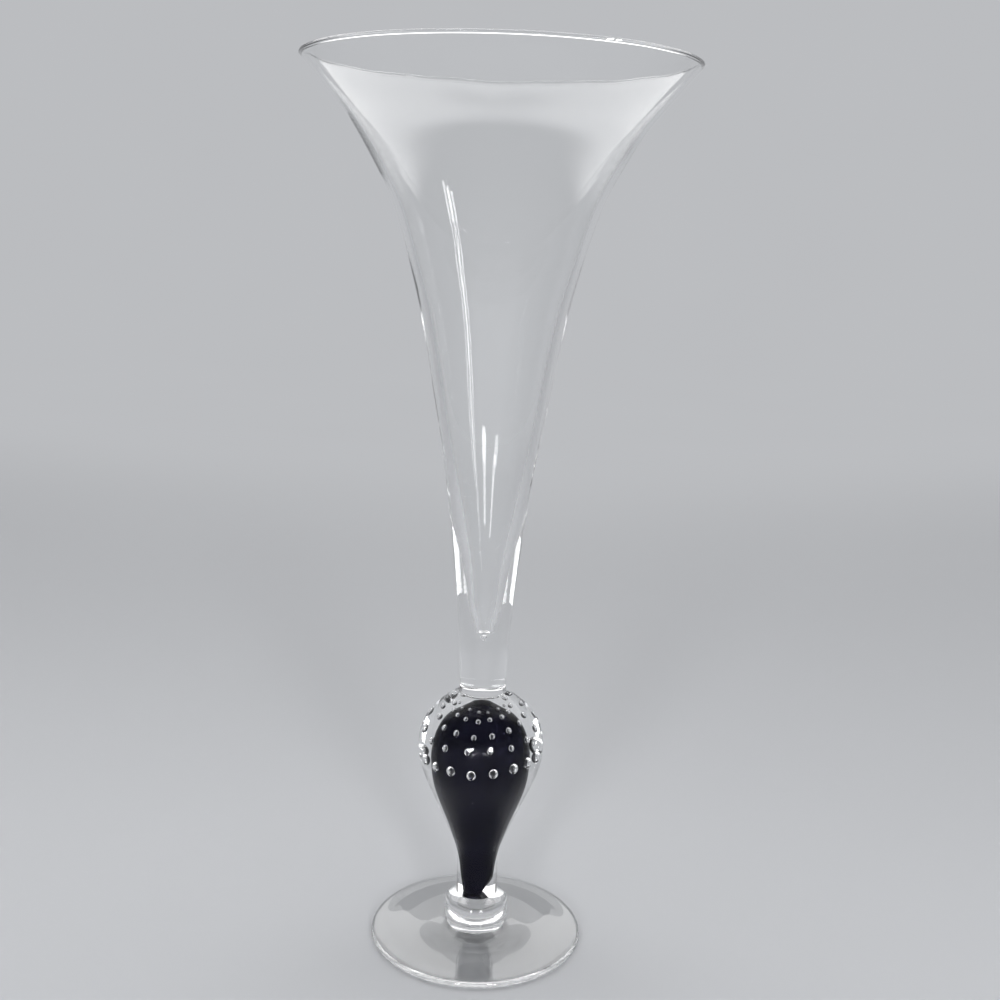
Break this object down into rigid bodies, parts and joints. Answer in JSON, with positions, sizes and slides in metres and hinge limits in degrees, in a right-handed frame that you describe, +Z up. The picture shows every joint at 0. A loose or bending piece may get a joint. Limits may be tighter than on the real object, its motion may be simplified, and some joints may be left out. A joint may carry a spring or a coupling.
{
  "type": "trumpet vase",
  "caption": "Tall clear glass trumpet vase on a pear-shaped knop with a black core and air bubbles, a double collar ring and a thin round foot.",
  "frame": {"origin": "middle of the foot's underside, on the surface that the vase stands on", "axes": "+Z up along the vase's axis, from the foot to the rim"},
  "size_m": [0.1704, 0.1704, 0.406],
  "materials": {
    "clear_glass": "fire-polished, colourless",
    "black_glass": "opaque black, polished"
  },
  "bodies": {
    "root": {"trumpet_bowl": "clear_glass", "knop_casing": "clear_glass", "black_core": "black_glass", "upper_collar_ring": "clear_glass", "lower_collar_ring": "clear_glass", "foot_disc": "clear_glass"}
  },
  "joints": []
}
